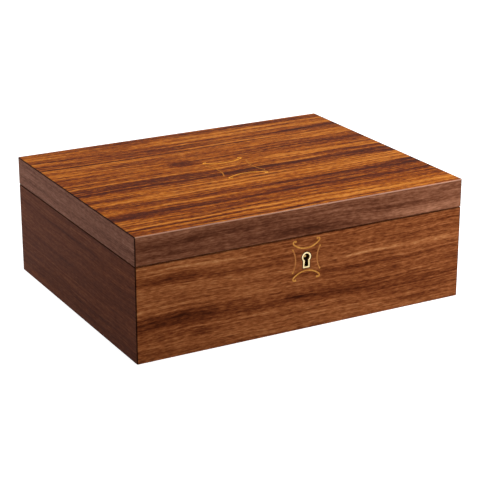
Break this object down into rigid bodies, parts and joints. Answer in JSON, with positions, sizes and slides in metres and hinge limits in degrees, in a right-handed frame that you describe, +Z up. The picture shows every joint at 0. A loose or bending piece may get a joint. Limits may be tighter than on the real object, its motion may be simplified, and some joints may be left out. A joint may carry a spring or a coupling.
{
  "type": "musical jewelry box",
  "caption": "Lockable wooden jewelry box with a hinged mirrored lid, lined compartments, a ring section and a cylinder musical movement that plays when the lid opens.",
  "frame": {"origin": "middle of the underside that the box stands on", "axes": "+X to the right along the front, +Y towards the hinges at the back, +Z up"},
  "size_m": [0.292, 0.2326, 0.101],
  "materials": {
    "case_wood": "satin lacquer over straight-grained figured veneer",
    "lid_wood": "satin lacquer over straight-grained figured veneer",
    "inner_wood": "plain sealed wood",
    "inlay_wood": "golden stringing wood under lacquer",
    "brass": "polished",
    "steel": "brushed",
    "cast_frame": "bronzed casting",
    "velvet": "short-pile velvet",
    "mirror_silver": "silvered glass",
    "clear_glass": "clear"
  },
  "bodies": {
    "case": {"front_board": "case_wood", "back_board": "case_wood", "left_board": "case_wood", "right_board": "case_wood", "bottom_panel": "inner_wood", "front_inlay": "inlay_wood", "front_lining": "velvet", "back_lining": "velvet", "side_linings": "velvet", "left_divider": "velvet", "right_divider": "velvet", "left_cross_divider": "velvet", "middle_cross_divider": "velvet", "right_cross_divider": "velvet", "front_left_pad": "velvet", "front_middle_pad": "velvet", "rear_middle_pad": "velvet", "front_right_pad": "velvet", "ring_section_base": "velvet", "ring_rolls": "velvet", "cover_ledges": "velvet", "escutcheon": "brass", "lock_plate": "brass", "lock_cap": "brass", "lock_key_pin": "brass", "lock_spring": "steel", "hinge_case_leaves": "brass", "hinge_pins": "brass", "case_screws": "brass", "music_cover": "clear_glass", "bedplate": "cast_frame", "movement_screws": "steel", "spring_housing": "brass", "mainspring": "steel", "cylinder_brackets": "brass", "comb": "steel", "governor_frame": "brass"},
    "lid": {"lid_front_rail": "case_wood", "lid_back_rail": "case_wood", "lid_left_rail": "case_wood", "lid_right_rail": "case_wood", "lid_panel": "inner_wood", "top_veneer": "lid_wood", "lid_inlay": "inlay_wood", "mirror": "mirror_silver", "mirror_frame": "case_wood", "hinge_lid_leaves": "brass", "lid_screws": "brass", "lock_link_plate": "brass"},
    "lock_bolt": {"lock_bolt": "brass"},
    "cylinder": {"cylinder_barrel": "brass", "cylinder_arbor": "steel", "great_wheel": "brass"},
    "winding_drive": {"crown_wheel": "brass", "winding_arbor": "steel", "winding_key": "brass"},
    "governor_wheel": {"governor_wheel": "brass"},
    "fan": {"worm_spindle": "steel", "fan": "brass"},
    "stop_plunger": {"stop_plunger": "steel"}
  },
  "joints": [
    {"name": "lid_hinge", "type": "hinge", "parent": "case", "child": "lid", "pos_m": [0, 0.115, 0.0773], "axis": [-1, 0, 0], "range_deg": [0, 95]},
    {"name": "lock_bolt_slide", "type": "slide", "parent": "case", "child": "lock_bolt", "axis": [1, 0, 0], "range_m": [0, 0.006]},
    {"name": "cylinder_spin", "type": "hinge", "parent": "case", "child": "cylinder", "pos_m": [-0.074, 0.062, 0.04258], "axis": [1, 0, 0], "continuous": true},
    {"name": "winding_drive_spin", "type": "hinge", "parent": "case", "child": "winding_drive", "pos_m": [-0.111, 0.062, 0.03], "axis": [0, 0, 1], "continuous": true},
    {"name": "governor_wheel_spin", "type": "hinge", "parent": "case", "child": "governor_wheel", "pos_m": [-0.053, 0.0741, 0.04258], "axis": [1, 0, 0], "continuous": true},
    {"name": "fan_spin", "type": "hinge", "parent": "case", "child": "fan", "pos_m": [-0.053, 0.0822, 0.05], "axis": [0, 0, 1], "continuous": true},
    {"name": "stop_plunger_slide", "type": "slide", "parent": "case", "child": "stop_plunger", "axis": [0, 0, 1], "range_m": [0, 0.004]}
  ],
  "couplings": [
    {"joint": "winding_drive_spin", "follows": "cylinder_spin", "ratio": 0.25},
    {"joint": "governor_wheel_spin", "follows": "cylinder_spin", "ratio": -5},
    {"joint": "fan_spin", "follows": "cylinder_spin", "ratio": 50},
    {"joint": "stop_plunger_slide", "follows": "lid_hinge", "m_per_rad": 0.0024}
  ]
}
